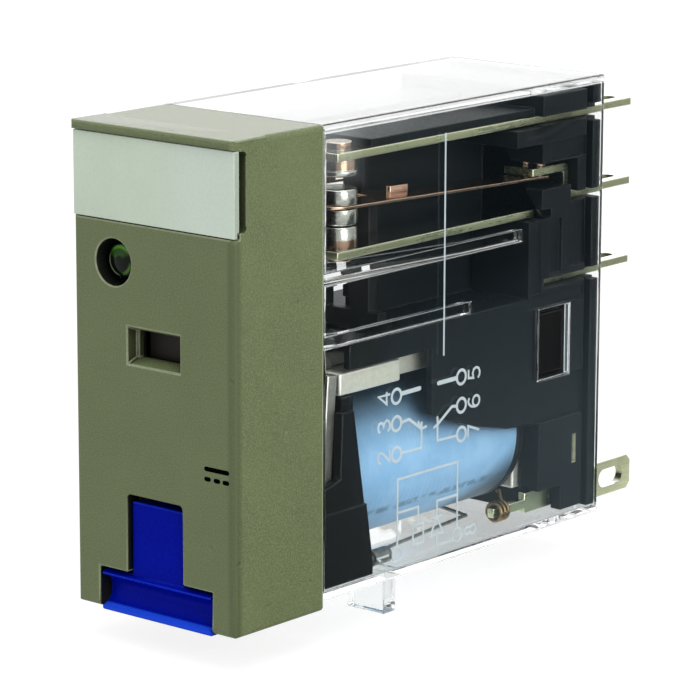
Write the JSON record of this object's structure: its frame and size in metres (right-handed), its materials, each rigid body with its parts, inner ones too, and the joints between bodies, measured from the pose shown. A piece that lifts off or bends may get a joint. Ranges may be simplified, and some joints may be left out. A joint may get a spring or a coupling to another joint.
{
  "type": "power relay",
  "caption": "Plug-in change-over power relay with a clear case, olive cap, blue test lever and flat blade terminals",
  "frame": {"origin": "Middle of the socket face, where the relay's base rests on its socket", "axes": "+Z along the tall side of the body, -Y out of the front cap, +X to the right seen from the front"},
  "size_m": [0.0126, 0.041, 0.0309],
  "materials": {
    "cap_plastic": "fine-grained olive grey moulding",
    "plate_plastic": "smooth white plate",
    "lever_plastic": "smooth blue moulding",
    "board": "green circuit board",
    "lamp_lens": "tinted lamp lens",
    "dark_ceramic": "dull chip body",
    "flag_plastic": "dull dark brown",
    "clear_case": "clear polished plastic",
    "black_plastic": "satin black moulding",
    "winding_copper": "enamelled copper wire",
    "blue_tape": "thin light blue tape",
    "iron": "plated pressed steel",
    "spring_copper": "thin rolled copper alloy",
    "contact_silver": "worn silver alloy",
    "terminal_brass": "pale tinned brass"
  },
  "bodies": {
    "body": {"cap_housing": "cap_plastic", "marker_plate": "plate_plastic", "led_board": "board", "led_lamp": "lamp_lens", "resistor": "dark_ceramic", "diode": "terminal_brass", "case_cover": "clear_case", "base": "black_plastic", "bobbin": "black_plastic", "coil_winding": "winding_copper", "coil_tape": "blue_tape", "coil_core": "iron", "yoke": "iron", "hinge_spring": "spring_copper", "no_terminal_1": "terminal_brass", "no_terminal_2": "terminal_brass", "no_contact_1": "contact_silver", "no_contact_2": "contact_silver", "com_terminal_1": "terminal_brass", "com_terminal_2": "terminal_brass", "nc_terminal_1": "terminal_brass", "nc_terminal_2": "terminal_brass", "nc_contact_1": "contact_silver", "nc_contact_2": "contact_silver", "coil_terminal_1": "terminal_brass", "coil_terminal_2": "terminal_brass", "coil_lead_1": "winding_copper", "coil_lead_2": "winding_copper"},
    "lever": {"test_lever": "lever_plastic"},
    "armature_set": {"armature": "iron", "indicator_flag": "flag_plastic"},
    "card_set": {"card": "black_plastic"},
    "spring_right": {"moving_spring_1": "spring_copper", "moving_contact_1": "contact_silver"},
    "spring_left": {"moving_spring_2": "spring_copper", "moving_contact_2": "contact_silver"}
  },
  "joints": [
    {"name": "lever_swing", "type": "hinge", "parent": "body", "child": "lever", "pos_m": [0, -0.03425, -0.0083], "axis": [-1, 0, 0], "range_deg": [0, 90]},
    {"name": "armature_swing", "type": "hinge", "parent": "body", "child": "armature_set", "pos_m": [0, -0.0245, -0.00078], "axis": [1, 0, 0], "range_deg": [0, 4.5], "stiffness_Nm_per_rad": 0.01, "springref_deg": -5.73},
    {"name": "card_slide", "type": "slide", "parent": "body", "child": "card_set", "axis": [0, 0, 1], "range_m": [0, 0.00047]},
    {"name": "spring_right_turn", "type": "hinge", "parent": "body", "child": "spring_right", "pos_m": [0, -0.0045, 0.00836], "axis": [-1, 0, 0], "range_deg": [0, 1.92]},
    {"name": "spring_left_turn", "type": "hinge", "parent": "body", "child": "spring_left", "pos_m": [0, -0.0045, 0.00836], "axis": [-1, 0, 0], "range_deg": [0, 1.92]}
  ],
  "couplings": [
    {"joint": "card_slide", "follows": "armature_swing", "m_per_rad": 0.005984},
    {"joint": "spring_right_turn", "follows": "armature_swing", "ratio": 0.42744},
    {"joint": "spring_left_turn", "follows": "armature_swing", "ratio": 0.42744}
  ]
}
